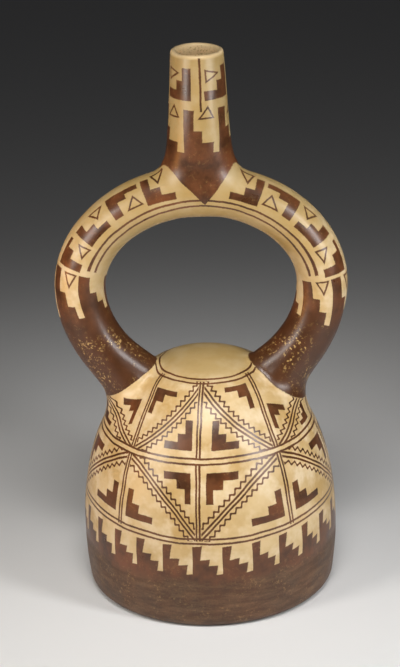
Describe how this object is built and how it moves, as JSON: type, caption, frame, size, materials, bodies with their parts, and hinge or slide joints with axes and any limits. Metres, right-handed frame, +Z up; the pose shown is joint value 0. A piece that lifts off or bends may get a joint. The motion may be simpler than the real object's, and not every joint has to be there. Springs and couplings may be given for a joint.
{
  "type": "stirrup spout vessel",
  "caption": "Hollow fired-clay bottle with a domed chamber, a looped tubular handle and one short pouring spout on top.",
  "frame": {"origin": "on the flat underside, below the middle of the loop", "axes": "+Z up through the spout, +X along the loop from one shoulder to the other, -Y towards the painted front"},
  "size_m": [0.1504, 0.134, 0.29],
  "materials": {
    "clay": "burnished cream slip painted in red-brown slip, satin, worn at the foot"
  },
  "bodies": {
    "root": {"vessel": "clay"}
  },
  "joints": []
}
